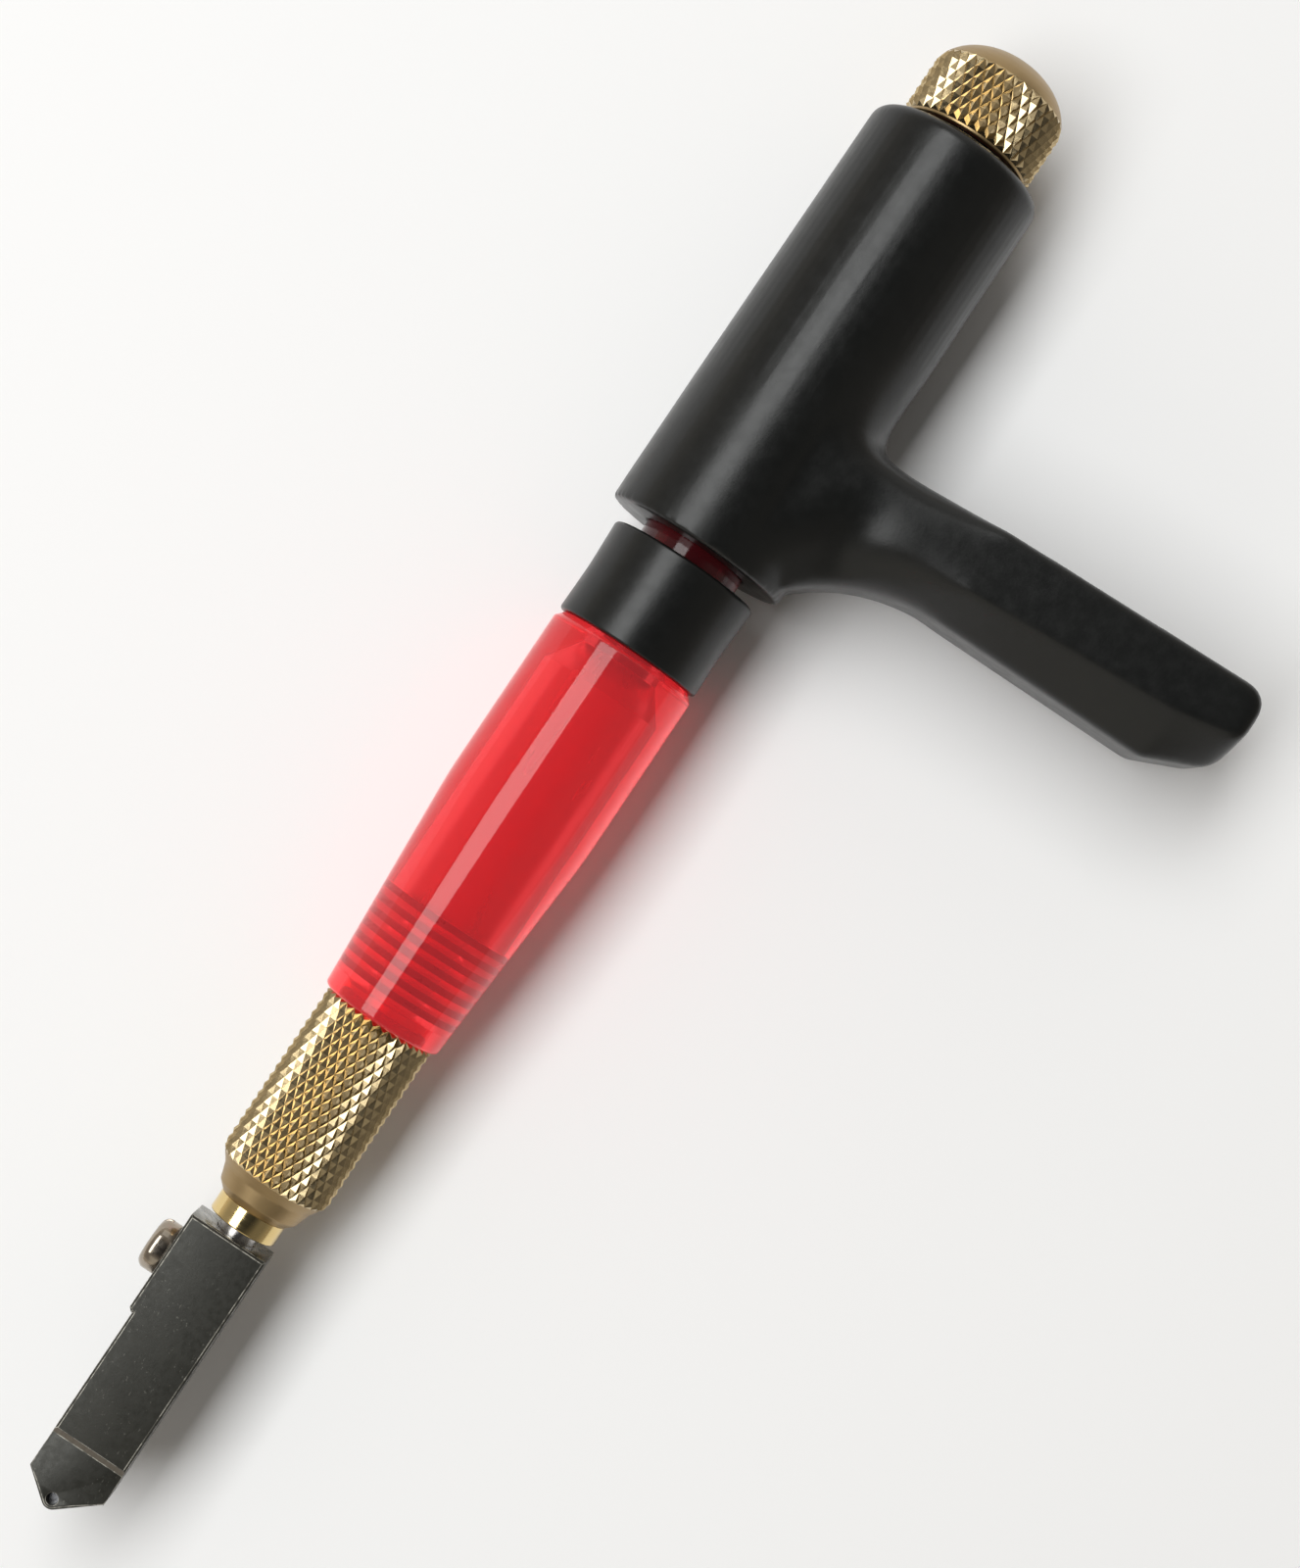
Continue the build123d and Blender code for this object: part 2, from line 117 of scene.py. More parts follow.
view = {
    "centre": (0.0908, -0.0091),   # point of the table in the middle of the picture
    "height": 0.26,
    "leanBack": math.radians(1.3),   # the camera stands a little towards the wheel
    "roll": math.radians(56.16),     # the tool's axis climbs to the right by this much
    "lens": 60.75,
    "nearest": 0.01,
}

studio = {
    "stripDistance": 1.0,
    "stripTilt": math.radians(24),   # from overhead towards +Y
    "stripSize": (0.47, 1.65),
    "stripPower": 12.0,
    "stripShift": 0.034,   # along the tool's axis
    "stripColor": (0.985, 1.0, 0.995),
    "panels": {   # place, size, power and colour of the soft panels that fill in
        "wheelEndPanel": ((-0.85, -0.25, 0.42), (0.6, 0.6), 0.4, (1.0, 0.98, 0.86)),
        "capEndPanel": ((1.0, 0.15, 0.4), (0.5, 0.5), 0.35, (0.95, 0.98, 1.0)),
    },
    "room": (   # colours of the room from its foot to its dark ceiling
        (0.0, (0.68, 0.62, 0.53, 1)),
        (0.4, (0.34, 0.32, 0.29, 1)),
        (0.7, (0.32, 0.30, 0.27, 1)),
        (0.93, (0.05, 0.052, 0.055, 1)),
    ),
    "roomShade": {"From Min": -0.5, "From Max": 0.1, "To Min": 0.55},   # darker past the arm
    "backdropGrey": 0.95,
    "floorSize": 8.0,
    "floorColor": (0.94, 0.935, 0.94, 1),
}


def makeCamera():
    data = bpy.data.cameras.new("camera")
    data.lens = view["lens"]
    data.clip_start = view["nearest"]
    camera = bpy.data.objects.new("camera", data)
    bpy.context.scene.collection.objects.link(camera)
    x, y = view["centre"]
    place = Vector((x - view["height"] * math.tan(view["leanBack"]), y, view["height"]))
    back = (place - Vector((x, y, 0))).normalized()
    right = Vector((math.cos(view["roll"]), -math.sin(view["roll"]), 0))
    up = back.cross(right).normalized()
    right = up.cross(back)
    axes = Matrix((right, up, back)).transposed().to_4x4()
    camera.matrix_world = Matrix.Translation(place) @ axes
    bpy.context.scene.camera = camera


def makePanel(name, size, power, color):
    data = bpy.data.lights.new(name, "AREA")
    data.shape = "RECTANGLE"
    data.size, data.size_y = size
    data.energy = power
    data.color = color
    panel = bpy.data.objects.new(name, data)
    panel.visible_camera = False
    bpy.context.scene.collection.objects.link(panel)
    return panel


def makeLights():
    strip = makePanel("stripLight", studio["stripSize"], studio["stripPower"], studio["stripColor"])
    tilt, reach = studio["stripTilt"], studio["stripDistance"]
    centreX, centreY = view["centre"]
    place = (centreX + studio["stripShift"], reach * math.sin(tilt), reach * math.cos(tilt))
    lean = Matrix.Rotation(-tilt, 4, "X") @ Matrix.Rotation(turn / 4, 4, "Z")
    strip.matrix_world = Matrix.Translation(place) @ lean
    middle = Vector((centreX, centreY, 0))
    for name, (place, size, power, color) in studio["panels"].items():
        panel = makePanel(name, size, power, color)
        panel.location = place
        panel.rotation_euler = (Vector(place) - middle).to_track_quat("Z", "Y").to_euler()


def makeRoom():
    world = bpy.data.worlds.new("room")
    world.use_nodes = True
    world.node_tree.nodes.clear()
    room = Tree(world.node_tree)
    direction = room.add("ShaderNodeTexCoord", output="Generated")
    height = room.add("ShaderNodeSeparateXYZ", inputs={0: direction}, output="Z")
    depth = room.add("ShaderNodeSeparateXYZ", inputs={0: direction}, output="Y")
    color = room.add("ShaderNodeValToRGB", {"stops": studio["room"]}, {0: height})
    shade = room.add("ShaderNodeMapRange", inputs={"Value": depth, **studio["roomShade"]})
    walls = room.add("ShaderNodeBackground", inputs={"Color": color, "Strength": shade})
    grey = studio["backdropGrey"]
    backdrop = room.add("ShaderNodeBackground", inputs={"Color": (grey, grey, grey, 1)})
    seen = room.add("ShaderNodeLightPath", output="Is Camera Ray")
    both = room.add("ShaderNodeMixShader", inputs={0: seen, 1: walls, 2: backdrop})
    room.add("ShaderNodeOutputWorld", inputs={"Surface": both})
    bpy.context.scene.world = world
    bpy.context.scene.view_settings.view_transform = "Standard"


makeCamera()
makeLights()
makeRoom()
print("camera, lights and room made")


# materials

class Finish(Tree):   # one material
    def __init__(self, name, **constants):
        self.material = bpy.data.materials.new(name)
        self.material.use_nodes = True
        super().__init__(self.material.node_tree)
        self.shader = self.nodeTree.nodes["Principled BSDF"]
        for socket, value in constants.items():
            self.shader.inputs[socket.replace("_", " ")].default_value = value

    def set(self, socket, value):
        self.feed(self.shader.inputs[socket], value)

    def noise(self, scale, stretch=(1, 1, 1), detail=3.0, rough=0.5):
        where = self.add("ShaderNodeTexCoord", output="Object")
        where = self.add("ShaderNodeMapping", inputs={"Vector": where, "Scale": stretch})
        sockets = {"Vector": where, "Scale": scale, "Detail": detail, "Roughness": rough}
        return self.add("ShaderNodeTexNoise", inputs=sockets)

    def between(self, value, low, high, toLow=0.0, toHigh=1.0):   # a soft step
        sockets = {"Value": value, "From Min": low, "From Max": high}
        sockets.update({"To Min": toLow, "To Max": toHigh})
        return self.add("ShaderNodeMapRange", {"interpolation_type": "SMOOTHSTEP"}, sockets)

    def blend(self, factor, first, second):
        first, second = (c if isinstance(c, Wire) else (*c, 1) for c in (first, second))
        sockets = {0: factor, 6: first, 7: second}
        return self.add("ShaderNodeMix", {"data_type": "RGBA"}, sockets, output=2)

    def color(self, factor, first, second):
        self.set("Base Color", self.blend(factor, first, second))

    def roughness(self, value, smooth, rough, low=0.3, high=0.7):
        self.set("Roughness", self.between(value, low, high, smooth, rough))

    def bump(self, height, strength, distance):
        sockets = {"Height": height, "Strength": strength, "Distance": distance}
        self.set("Normal", self.add("ShaderNodeBump", inputs=sockets))


def blackPlastic():
    finish = Finish("blackPlastic", Specular_IOR_Level=0.4)
    broad = finish.noise(90, detail=4)
    finish.color(broad, (0.0042, 0.0046, 0.0046), (0.0075, 0.0078, 0.0072))
    finish.roughness(finish.noise(700, detail=5, rough=0.6), 0.28, 0.35, high=0.75)
    finish.bump(finish.noise(3200, detail=2), 0.2, 0.00003)
    return finish.material


def redAcrylic():
    finish = Finish(
        "redAcrylic", IOR=1.42, Transmission_Weight=0.8, Roughness=0.02,
        Emission_Color=(1.0, 0.06, 0.08, 1), Emission_Strength=0.13,   # painted glow: a faint red emission brightens the acrylic
    )
    haze = finish.noise(160, stretch=(0.3, 1, 1))
    finish.color(haze, (0.88, 0.055, 0.062), (0.94, 0.072, 0.082))
    return finish.material


def shadedDrilledBore():   # the reservoir's wall, left a little cloudy by the drill, in a darker red that is painted shade inside the bore
    finish = Finish("shadedDrilledBore", IOR=1.42, Transmission_Weight=0.62)
    streaks = finish.noise(350, stretch=(0.15, 1, 1), detail=4)
    finish.color(streaks, (0.60, 0.035, 0.042), (0.78, 0.055, 0.062))
    finish.roughness(streaks, 0.16, 0.28)
    return finish.material


def shadedNeck():   # the filler neck, painted dark red as shade
    finish = Finish("shadedNeck", IOR=1.42, Transmission_Weight=0.5, Roughness=0.08)
    streaks = finish.noise(400, stretch=(0.3, 1, 1))
    finish.color(streaks, (0.10, 0.008, 0.011), (0.17, 0.012, 0.018))
    return finish.material


def shadedThreadFlanks():   # flanks of the barrel's tapped thread, painted dark as shade in the grooves
    finish = Finish("shadedThreadFlanks", IOR=1.42, Transmission_Weight=0.25)
    flankNoise = finish.noise(500)
    finish.color(flankNoise, (0.06, 0.010, 0.008), (0.26, 0.028, 0.026))
    finish.roughness(flankNoise, 0.25, 0.4)
    return finish.material


def knurledBrass():
    finish = Finish("knurledBrass", Metallic=1.0)
    finish.color(finish.noise(500, detail=4), (0.52, 0.40, 0.215), (0.66, 0.52, 0.31))
    finish.roughness(finish.noise(2500), 0.16, 0.26)
    return finish.material


def turnedBrass():
    finish = Finish("turnedBrass", Metallic=1.0)
    tone = finish.noise(260, detail=5, rough=0.6)
    finish.color(tone, (0.35, 0.245, 0.12), (0.43, 0.31, 0.165))
    lathe = finish.noise(1.0, stretch=(12000, 40, 40), detail=2)
    finish.roughness(lathe, 0.36, 0.46)
    finish.bump(lathe, 0.2, 0.00001)
    return finish.material


def brightBrass():
    finish = Finish("brightBrass", Metallic=1.0)
    finish.color(finish.noise(300), (0.74, 0.55, 0.24), (0.84, 0.66, 0.33))
    lathe = finish.noise(1.0, stretch=(9000, 60, 60), detail=1)
    finish.roughness(lathe, 0.08, 0.16)
    finish.bump(lathe, 0.15, 0.00001)
    return finish.material


def darkSteel():
    finish = Finish("darkSteel", Metallic=0.35)
    cloud = finish.noise(420, detail=5, rough=0.6)
    black = finish.blend(cloud, (0.018, 0.0175, 0.0135), (0.036, 0.035, 0.028))
    nicks = finish.between(finish.noise(3600, stretch=(0.6, 1, 1), detail=2), 0.66, 0.72)
    handled = finish.between(finish.noise(150, detail=2), 0.42, 0.6)
    finish.color(nicks * handled, black, (0.085, 0.082, 0.07))
    finish.roughness(finish.noise(1500, detail=4), 0.36, 0.5)
    finish.bump(finish.noise(3200), 0.3, 0.00003)
    return finish.material


def wornSteel():
    finish = Finish("wornSteel")
    chips = finish.noise(900, detail=5, rough=0.65)
    bare = finish.between(chips, 0.40, 0.58)
    finish.color(bare, (0.10, 0.096, 0.08), (0.42, 0.40, 0.35))
    finish.roughness(chips, 0.6, 0.45)
    return finish.material


def groundSteel():
    finish = Finish("groundSteel", Metallic=0.3)
    lines = finish.noise(600, stretch=(1, 6, 1), detail=4)
    finish.color(lines, (0.10, 0.085, 0.066), (0.19, 0.165, 0.135))
    finish.roughness(lines, 0.5, 0.62)
    return finish.material


def plainMetal(name, dark, light, smooth, rough):
    finish = Finish(name, Metallic=1.0)
    finish.color(finish.noise(700, detail=4), dark, light)
    finish.roughness(finish.noise(1600), smooth, rough)
    return finish.material


def blackRubber():
    finish = Finish("blackRubber", Specular_IOR_Level=0.3)
    finish.color(finish.noise(500), (0.010, 0.010, 0.010), (0.02, 0.02, 0.02))
    finish.roughness(finish.noise(2000), 0.5, 0.65)
    return finish.material


def wickFelt():
    finish = Finish("wickFelt", Roughness=0.9)
    finish.color(finish.noise(3000), (0.42, 0.36, 0.26), (0.7, 0.64, 0.5))
    return finish.material


looks = {
    "black_plastic": blackPlastic(),
    "red_acrylic": redAcrylic(),
    "brass_knurled": knurledBrass(),
    "brass_bright": brightBrass(),
    "dark_steel": darkSteel(),
    "nickel": plainMetal("nickel", (0.27, 0.225, 0.175), (0.48, 0.42, 0.35), 0.12, 0.22),
    "bright_steel": plainMetal("brightSteel", (0.38, 0.36, 0.35), (0.55, 0.53, 0.51), 0.18, 0.3),
    "hard_metal": plainMetal("hardMetal", (0.24, 0.24, 0.25), (0.36, 0.36, 0.37), 0.22, 0.34),
    "rubber_black": blackRubber(),
    "wick_felt": wickFelt(),
}
wornEdge = wornSteel()
groundFace = groundSteel()
groundEnd = plainMetal("groundEnd", (0.20, 0.20, 0.185), (0.30, 0.30, 0.28), 0.2, 0.32)
plainBrass = turnedBrass()
shadedThreadLook = shadedThreadFlanks()
shadedNeckAcrylic = shadedNeck()
shadedBoreWall = shadedDrilledBore()

for part in frame["record"]["subparts"]:
    node = nodes[part["node"]]
    node.data.materials.clear()
    node.data.materials.append(looks[part["material_slot"]])
print("materials made")


# modelling helpers

def startFresh():
    if bpy.context.object and bpy.context.object.mode != "OBJECT":
        bpy.ops.object.mode_set(mode="OBJECT")
    bpy.ops.object.select_all(action="DESELECT")


def startEdit():
    bpy.ops.object.mode_set(mode="EDIT")
    bpy.ops.mesh.select_all(action="SELECT")


def endEdit():   # with every face turned outwards
    bpy.ops.mesh.select_all(action="SELECT")
    bpy.ops.mesh.normals_make_consistent(inside=False)
    bpy.ops.object.mode_set(mode="OBJECT")


def selectEdges(piece, wanted):
    bpy.ops.mesh.select_mode(type="EDGE")
    bpy.ops.mesh.select_all(action="DESELECT")
    mesh = bmesh.from_edit_mesh(piece.data)
    for edge in mesh.edges:
        edge.select_set(wanted(edge))
    bmesh.update_edit_mesh(piece.data)


def modify(piece, kind, **settings):   # one modifier, set and applied
    modifier = piece.modifiers.new(kind.lower(), kind)
    for key, value in settings.items():
        setattr(modifier, key, value)
    bpy.ops.object.modifier_apply(modifier=modifier.name)


def smoothBy(degrees):
    bpy.ops.object.shade_smooth_by_angle(angle=math.radians(degrees))


def extents(node):   # first and last station along the axis, and the half width
    low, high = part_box(node)
    return low.x / mm, high.x / mm, high.y / mm


def finishPiece(piece, slot, body, replaced):
    if not piece.data.materials:
        piece.data.materials.append(looks[slot])
    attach(piece, body)
    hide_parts(replaced)
    return piece


def rounded(corners, steps=5):   # (station, radius, rounding) corners to plain points
    points = []
    for index, (x, r, fillet) in enumerate(corners):
        here = Vector((x, r))
        if not fillet or index in (0, len(corners) - 1):
            points.append((x, r))
            continue
        before = (Vector(corners[index - 1][:2]) - here).normalized()
        after = (Vector(corners[index + 1][:2]) - here).normalized()
        half = before.angle(after) / 2
        reach = fillet / math.tan(half)
        centre = here + (before + after).normalized() * fillet / math.sin(half)
        start = here + before * reach - centre
        end = here + after * reach - centre
        sweep = -start.angle_signed(end)
        for step in range(steps + 1):
            points.append(tuple(centre + Matrix.Rotation(sweep * step / steps, 2) @ start))
    return points


def circleAround(name, station, radius, segments):   # about the tool's axis
    startFresh()
    bpy.ops.mesh.primitive_circle_add(
        vertices=segments, radius=radius * mm, location=(station * mm, 0, 0),
        rotation=(0, turn / 4, 0),
    )
    piece = bpy.context.object
    piece.name = piece.data.name = name
    bpy.ops.object.transform_apply(location=True, rotation=True, scale=True)
    startEdit()
    return piece


def extrudeAlong(length):
    bpy.ops.mesh.extrude_region_move(TRANSFORM_OT_translate={"value": (length * mm, 0, 0)})


def resizeAround(station, factor):
    bpy.ops.transform.resize(value=(1, factor, factor), center_override=(station * mm, 0, 0))


def turned(name, outline, segments=128, smooth=30):
    piece = circleAround(name, *outline[0], segments)
    for (x0, r0), (x1, r1) in zip(outline, outline[1:]):
        extrudeAlong(x1 - x0)
        resizeAround(x1, r1 / r0)
    bpy.ops.mesh.select_all(action="SELECT")
    bpy.ops.mesh.remove_doubles(threshold=0.002 * mm)
    bpy.ops.mesh.fill_holes(sides=0)   # closes the poles of a solid piece
    endEdit()
    smoothBy(smooth)
    return piece


def knurledBand(name, start, rowLength, knurl, envelope):
    rows, depth, crest = knurl["rows"], knurl["depth"], knurl["crest"]
    valley = crest - depth
    band = circleAround(name, start, valley, knurl["columns"])
    for row in range(rows):
        extrudeAlong(rowLength)
    bpy.ops.mesh.select_all(action="SELECT")
    bpy.ops.mesh.normals_make_consistent(inside=False)
    bpy.ops.mesh.poke(offset=0)

    def straight(edge):   # these go, and the slanting grooves stay
        run = abs(edge.verts[0].co.x - edge.verts[1].co.x)
        slanting = abs(run - rowLength * mm / 2) < 0.05 * mm
        return len(edge.link_faces) == 2 and not slanting

    selectEdges(band, straight)
    bpy.ops.mesh.dissolve_edges(use_verts=False)
    bpy.ops.mesh.select_mode(type="FACE")
    bpy.ops.mesh.select_all(action="SELECT")
    bpy.ops.mesh.poke(offset=depth * mm, use_relative_offset=False)
    mesh = bmesh.from_edit_mesh(band.data)
    for vertex in mesh.verts:   # points are cut down where the blank tapers
        x, r = vertex.co.x / mm, math.hypot(vertex.co.y, vertex.co.z) / mm
        if r > envelope(x):
            vertex.co.y *= envelope(x) / r
            vertex.co.z *= envelope(x) / r
    bmesh.update_edit_mesh(band.data)
    for station in (start, start + rows * rowLength):   # the ends close onto the core

        def onEnd(edge):
            level = all(abs(v.co.x - station * mm) < 0.01 * mm for v in edge.verts)
            return level and len(edge.link_faces) == 1

        selectEdges(band, onEnd)
        extrudeAlong(0)
        resizeAround(station, knurl["seat"] / valley)
    selectEdges(band, lambda edge: len(edge.link_faces) == 1)
    bpy.ops.mesh.bridge_edge_loops()
    endEdit()
    band.data.materials.append(looks["brass_knurled"])
    return band


def helicalThread(name, start, thread):
    startFresh()
    bpy.ops.mesh.primitive_plane_add(size=1 * mm)
    piece = bpy.context.object
    piece.name = piece.data.name = name
    startEdit()
    mesh = bmesh.from_edit_mesh(piece.data)
    for vertex in mesh.verts:   # the plane becomes the thread's section, sunk a little
        outside = vertex.co.y > 0
        width = thread["pitch"] * thread["crestWidth" if outside else "rootWidth"]
        side = 1 if vertex.co.x > 0 else -1
        radius = thread["crest"] if outside else thread["root"] - 0.1
        vertex.co = ((start + side * width / 2) * mm, radius * mm, 0)
    bmesh.ops.delete(mesh, geom=list(mesh.faces), context="FACES_ONLY")
    bmesh.update_edit_mesh(piece.data)
    bpy.ops.object.mode_set(mode="OBJECT")
    modify(
        piece, "SCREW", axis="X", screw_offset=thread["pitch"] * mm, iterations=thread["turns"],
        steps=64, render_steps=64, use_smooth_shade=False,
    )
    startEdit()
    bpy.ops.mesh.fill_holes(sides=4)
    endEdit()
    smoothBy(30)
    return piece


def joined(name, *shells):
    startFresh()
    for shell in shells:
        shell.select_set(True)
    bpy.context.view_layer.objects.active = shells[0]
    bpy.ops.object.join()
    shells[0].name = shells[0].data.name = name
    return shells[0]


def copyOfNode(name, node):
    startFresh()
    piece = bpy.data.objects.new(name, nodes[node].data.copy())
    piece.data.name = name
    bpy.context.scene.collection.objects.link(piece)
    piece.select_set(True)
    bpy.context.view_layer.objects.active = piece
    startEdit()
    bpy.ops.mesh.remove_doubles(threshold=0.001 * mm)
    bpy.ops.object.mode_set(mode="OBJECT")
    return piece


# brass ferrule: knurled band, turned core with the rounded nose, threaded spigot

ferrule = {
    "knurl": {"columns": 34, "rows": 9, "depth": 0.42, "crest": 6.03, "seat": 5.0},
    "noseRadius": 3.65,
    "noseCorner": (0.75, 4.4),   # station from the nose's face, and radius
    "waist": (37.2, 4.92),   # where the chamfer up to the knurl starts
    "chamferTop": 38.8,
    "bandCore": 5.3,         # radius under the knurled band
    "neck": (1.3, 3.95),     # length and radius between the barrel and the thread
    "thread": {
        "pitch": 1.4, "turns": 7, "root": 4.3, "crest": 4.9, "crestWidth": 0.15, "rootWidth": 0.8,
    },
    "chamber": (38.85, 3.2),   # foot and radius of the hollow
    "noseHole": 2.9,
}


def makeFerrule():
    bottom, top, _ = extents("ferrule")
    shoulder = extents("barrel")[0]
    knurl, thread = ferrule["knurl"], ferrule["thread"]
    crest, valley = knurl["crest"], knurl["crest"] - knurl["depth"]
    waistX, waistR = ferrule["waist"]
    slope = (crest - waistR) / (ferrule["chamferTop"] - waistX)
    bandStart = waistX + (valley - waistR) / slope
    rowLength = (shoulder - 0.02 - bandStart) / knurl["rows"]
    band = knurledBand(
        "knurlBand", bandStart, rowLength, knurl,
        envelope=lambda x: min(crest, waistR + slope * (x - waistX)),
    )
    cornerX, cornerR = ferrule["noseCorner"]
    neckLength, neckR = ferrule["neck"]
    chamberX, chamberR = ferrule["chamber"]
    neck = shoulder + neckLength
    core = turned("ferruleCore", rounded([
        (bottom, ferrule["noseHole"], 0),
        (bottom, ferrule["noseRadius"], 0.1),
        (bottom + cornerX, cornerR, 0.5),
        (waistX, waistR, 1.2),
        (bandStart, valley, 0),
        (bandStart, ferrule["bandCore"], 0),
        (shoulder, ferrule["bandCore"], 0),
        (shoulder, neckR, 0),
        (neck, neckR, 0),
        (neck, thread["root"], 0),
        (top, thread["root"], 0.2),
        (top, chamberR, 0),
        (chamberX, chamberR, 0),
        (chamberX, ferrule["noseHole"], 0),
        (bottom, ferrule["noseHole"], 0),
    ]), smooth=35)
    core.data.materials.append(plainBrass)
    spiral = helicalThread("spigotThread", neck + thread["pitch"] / 2, thread)
    spiral.data.materials.append(plainBrass)
    finishPiece(joined("ferruleBrass", band, core, spiral), "brass_knurled", "barrel", "ferrule")


makeFerrule()
print("ferrule made")


# clear red barrel

barrel = {
    "segments": 160,
    "foot": (6.5, 0.5),        # radius and rounding
    "belly": (80.8, 8.0, 60),  # where the taper runs out, with its long rounding
    "shoulder": (99.4, 100.2, 7.3),   # foot, top and top radius of the chamfer under the ring
    "neck": 5.55,
    "mouth": 3.0,
    "funnel": (95.5, 98.7),    # the bore narrows to the mouth between these stations
    "bore": (69.0, 4.65),      # foot and radius of the reservoir
    "thread": {"radius": 4.95, "top": 68.9, "pitch": 1.4, "grooves": 7, "depth": 0.55},
}


def makeBarrel():
    bottom, top, _ = extents("barrel")
    footR, footRound = barrel["foot"]
    bellyX, radius, _ = barrel["belly"]
    chamferX, shoulderX, shoulderR = barrel["shoulder"]
    neck, mouth = barrel["neck"], barrel["mouth"]
    boreX, boreR = barrel["bore"]
    thread = barrel["thread"]
    threadR, pitch = thread["radius"], thread["pitch"]
    tapped = []
    for groove in range(thread["grooves"]):   # from the top of the tapped hole down
        x = thread["top"] - groove * pitch
        tapped += [(x, threadR, 0), (x - pitch / 2, threadR + thread["depth"], 0)]
    piece = turned("barrelAcrylic", rounded([
        (bottom, threadR, 0),
        (bottom, footR, footRound),
        barrel["belly"],
        (chamferX, radius, 0.35),
        (shoulderX, shoulderR, 0.25),
        (shoulderX, neck, 0.12),
        (top, neck, 0.3),
        (top, mouth, 0.1),
        (barrel["funnel"][1], mouth, 0.3),
        (barrel["funnel"][0], boreR, 0.3),
        (boreX, boreR, 0),
        (boreX, threadR, 0),
    ] + tapped + [
        (thread["top"] - thread["grooves"] * pitch, threadR, 0),
        (bottom, threadR, 0),
    ], steps=8), segments=barrel["segments"], smooth=25)
    for look in (looks["red_acrylic"], shadedThreadLook, shadedNeckAcrylic, shadedBoreWall):
        piece.data.materials.append(look)
    for face in piece.data.polygons:
        x, y, z = face.center / mm
        r = math.hypot(y, z)
        if x < boreX and face.normal.x < -0.3 and threadR < r - 0.01 and r < threadR + 0.5:
            face.material_index = 1   # the upper flanks of the thread, painted dark as shade
        # the neck's faces take a dark red: painted shade
        if x > shoulderX + 0.3:
            face.material_index = 2
        # the bore wall takes a darker red: painted shade
        elif x > boreX + 0.1 and r < boreR + 0.05:
            face.material_index = 3
    finishPiece(piece, "red_acrylic", "barrel", "barrel")


makeBarrel()
print("barrel made")


# filler cap: knurled band, domed turned core with the stud

cap = {
    "knurl": {"columns": 39, "rows": 3, "depth": 0.42, "seat": 6.3},
    "bandStart": 160.3,
    "shoulder": 165.3,       # where the dome starts
    "domeSteps": 16,
    "stud": 2.95,
    "recess": (161.0, 6.2),  # depth and radius of the seat for the gasket
    "foot": 160.0,
    "bandCore": 6.6,
}


def makeCap():
    stud, apex, crest = extents("filler_cap")
    knurl = {**cap["knurl"], "crest": crest}
    valley = crest - knurl["depth"]
    bandStart, shoulder = cap["bandStart"], cap["shoulder"]
    rise = apex - shoulder

    def domeRadius(x):
        return crest * math.sqrt(1 - (max(0, x - shoulder) / rise) ** 2)

    runOut = math.acos(valley / crest)   # where the knurl's grooves leave the dome
    bandEnd = shoulder + rise * math.sin(runOut)
    rowLength = (bandEnd - bandStart) / knurl["rows"]
    band = knurledBand("capKnurl", bandStart, rowLength, knurl, envelope=domeRadius)
    dome = []
    for step in range(cap["domeSteps"]):
        share = step / (cap["domeSteps"] - 1)
        angle = runOut + share * (math.radians(89.5) - runOut)
        dome.append((shoulder + rise * math.sin(angle), crest * math.cos(angle)))
    recessX, recessR = cap["recess"]
    core = turned("capCore", rounded([
        (stud, 0.02, 0),
        (stud, cap["stud"], 0.3),
        (recessX, cap["stud"], 0),
        (recessX, recessR, 0),
        (cap["foot"], recessR, 0),
        (cap["foot"], valley, 0.2),
        (bandStart + 0.1, valley, 0),
        (bandStart + 0.1, cap["bandCore"], 0),
        (bandEnd - 0.1, cap["bandCore"], 0),
    ]) + dome + [(apex, 0.02)], smooth=35)
    core.data.materials.append(plainBrass)
    finishPiece(joined("capBrass", band, core), "brass_knurled", "cap", "filler_cap")


makeCap()
print("cap made")


# lock ring, with a slightly waisted side

lockRing = {"bore": 5.6, "footRadius": 7.95, "waistRadius": 7.86}


def makeLockRing():
    bottom, top, topRadius = extents("lock_ring")
    bore = lockRing["bore"]
    piece = turned("lockRingPlastic", rounded([
        (bottom, bore, 0),
        (bottom, lockRing["footRadius"], 0.35),
        ((bottom + top) / 2, lockRing["waistRadius"], 30),
        (top, topRadius, 0.4),
        (top, bore, 0),
        (bottom, bore, 0),
    ], steps=6))
    finishPiece(piece, "black_plastic", "ring", "lock_ring")


makeLockRing()
print("ring made")


# neck bush in the ferrule's nose

neckBush = {"bore": 2.125, "spigot": 2.88}


def makeNeckBush():
    bottom, top, radius = extents("neck_bush")
    flange = extents("ferrule")[0] - 0.02
    bore, spigot = neckBush["bore"], neckBush["spigot"]
    piece = turned("neckBushBrass", rounded([
        (bottom, bore, 0),
        (bottom, radius, 0.18),
        (flange, radius, 0.06),
        (flange, spigot, 0),
        (top, spigot, 0),
        (top, bore, 0),
        (bottom, bore, 0),
    ]))
    finishPiece(piece, "brass_bright", "barrel", "neck_bush")


makeNeckBush()
print("bush made")


# steel head and its screw: the shapes of the frame with their edges broken

head = {
    "edge": 0.05,
    "screwEdge": 0.1,
    "step": (6, 8),    # the ground step above the wheel lies between these stations
    "endFace": 31,     # the ground end lies past this one
}


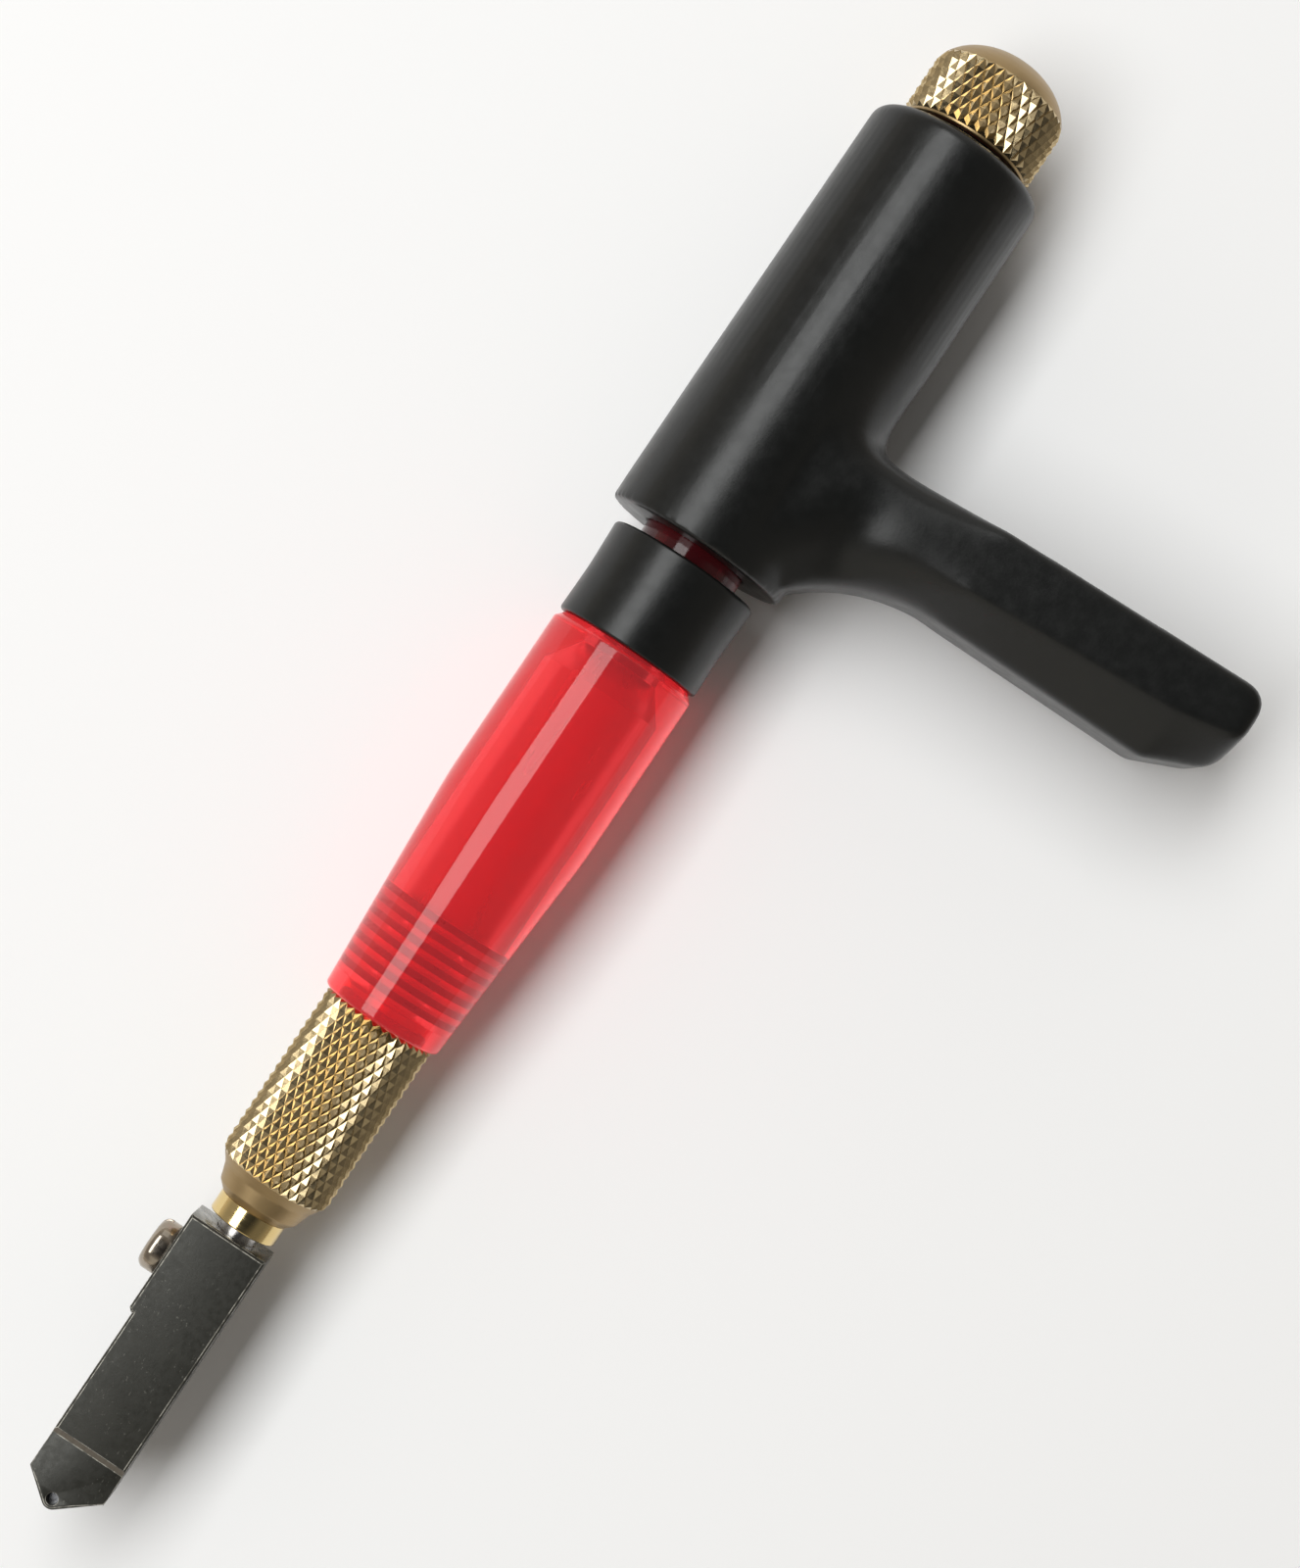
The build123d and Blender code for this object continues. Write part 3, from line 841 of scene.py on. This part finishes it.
def brokenEdges(name, node, width, slot, body, edgeLook=None):
    piece = copyOfNode(name, node)
    startEdit()
    bpy.ops.mesh.dissolve_limited(angle_limit=math.radians(1))
    bpy.ops.object.mode_set(mode="OBJECT")
    piece.data.materials.clear()
    piece.data.materials.append(looks[slot])
    edge = {"width": width * mm, "segments": 2, "use_clamp_overlap": False}
    if edgeLook:
        piece.data.materials.append(edgeLook)
        edge["material"] = 1
    modify(piece, "BEVEL", limit_method="ANGLE", angle_limit=math.radians(30), **edge)
    smoothBy(35)
    return finishPiece(piece, slot, body, node)


def markGround(piece):
    piece.data.materials.append(groundFace)
    piece.data.materials.append(groundEnd)
    low, high = head["step"]
    for face in piece.data.polygons:
        x = face.center.x / mm
        if face.normal.x < -0.5 and abs(face.normal.z) > 0.5 and low < x < high:
            face.material_index = 2
        if face.normal.x > 0.98 and x > head["endFace"]:
            face.material_index = 3


markGround(brokenEdges("headSteel", "cutter_head", head["edge"], "dark_steel", "head", wornEdge))
brokenEdges("headScrewNickel", "head_screw", head["screwEdge"], "nickel", "head")
print("head made")


# springs, copied from the frame's shapes with smooth shading

springs = {
    "stroke": 0.7,
    "wires": {   # node, joint, and the end that stays
        "returnSpringWire": ("return_spring", "stem_press", 54.0),
        "valveSpringWire": ("valve_spring", "valve_lift", 65.8),
    },
}


def makeSprings():
    for name, (node, joint, fixedEnd) in springs["wires"].items():
        piece = copyOfNode(name, node)
        smoothBy(40)
        finishPiece(piece, "bright_steel", "barrel", node)
        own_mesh(piece)


makeSprings()
print("springs made")


# grip: one moulding, with the arm blended into the sleeve

grip = {
    "voxel": 0.4,
    "blend": {   # distances from the axis, stations, and how far each edge fades in
        "y": (-24.0, -4.0), "fadeY": (9, 3), "x": (113.6, 139.0), "fadeX": (9, 5),
    },
    "sleeveSkin": 9.0,       # nothing nearer the axis is blended
    "arm": (-10, 4),         # the arm's own edges soften from here, over this far
    "rim": (1.5, 7.5),       # depth from the mouth, and least radius
    "rounds": {"root": 330, "arm": 12, "rim": 10},   # of smoothing
    "dip": {"share": 0.12, "x": 119.6, "y": -12.0, "width": (5, 3), "skin": 7},
}


def fade(distance, width):   # from 0 to 1
    return min(1, max(0, distance / width))


def markGrip(piece):
    groups = {name: piece.vertex_groups.new(name=name) for name in grip["rounds"]}
    mouth = extents("grip")[0]
    blend = grip["blend"]
    (farY, nearY), (fadeFar, fadeNear) = blend["y"], blend["fadeY"]
    (lowX, highX), (fadeLow, fadeHigh) = blend["x"], blend["fadeX"]
    for vertex in piece.data.vertices:
        x, y, z = vertex.co / mm
        r = math.hypot(y, z)
        across = fade(nearY - y, fadeNear) * fade(y - farY, fadeFar)
        along = fade(x - lowX, fadeLow) * fade(highX - x, fadeHigh)
        onRim = x < mouth + grip["rim"][0] and r > grip["rim"][1]
        weights = {
            "root": 0 if r < grip["sleeveSkin"] else across * along,
            "arm": fade(grip["arm"][0] - y, grip["arm"][1]),
            "rim": 1 if onRim else 0,
        }
        for name, weight in weights.items():
            groups[name].add([vertex.index], weight, "REPLACE")


def pressDip(piece):   # the shallow hollow in the arm's root beside the sleeve
    dip = grip["dip"]
    for vertex in piece.data.vertices:
        x, y, z = vertex.co / mm
        if y < -3 and math.hypot(y, z) > dip["skin"]:
            away = ((x - dip["x"]) / dip["width"][0]) ** 2 + ((y - dip["y"]) / dip["width"][1]) ** 2
            vertex.co.z *= 1 - dip["share"] * math.exp(-away)


def makeGrip():
    clean = copyOfNode("gripClean", "grip")
    piece = copyOfNode("gripMoulding", "grip")
    modify(piece, "REMESH", mode="VOXEL", voxel_size=grip["voxel"] * mm)
    markGrip(piece)
    modify(piece, "SHRINKWRAP", target=clean, wrap_method="NEAREST_SURFACEPOINT")
    for group, rounds in grip["rounds"].items():
        modify(piece, "SMOOTH", factor=0.5, iterations=rounds, vertex_group=group)
    pressDip(piece)
    piece.vertex_groups.clear()
    bpy.data.objects.remove(clean)
    startFresh()
    piece.select_set(True)
    bpy.context.view_layer.objects.active = piece
    bpy.ops.object.shade_smooth()
    finishPiece(piece, "black_plastic", "grip", "grip")


makeGrip()
print("grip made")


# floor

def makeFloor():
    startFresh()
    bpy.ops.mesh.primitive_plane_add(size=studio["floorSize"], location=(0, 0, cadBounds[0][2]))
    floor = bpy.context.object
    floor.name = "floor"
    finish = Finish("paleFloor", Roughness=0.8, Specular_IOR_Level=0.2)
    finish.set("Base Color", studio["floorColor"])
    floor.data.materials.append(finish.material)


makeFloor()
print("floor laid")
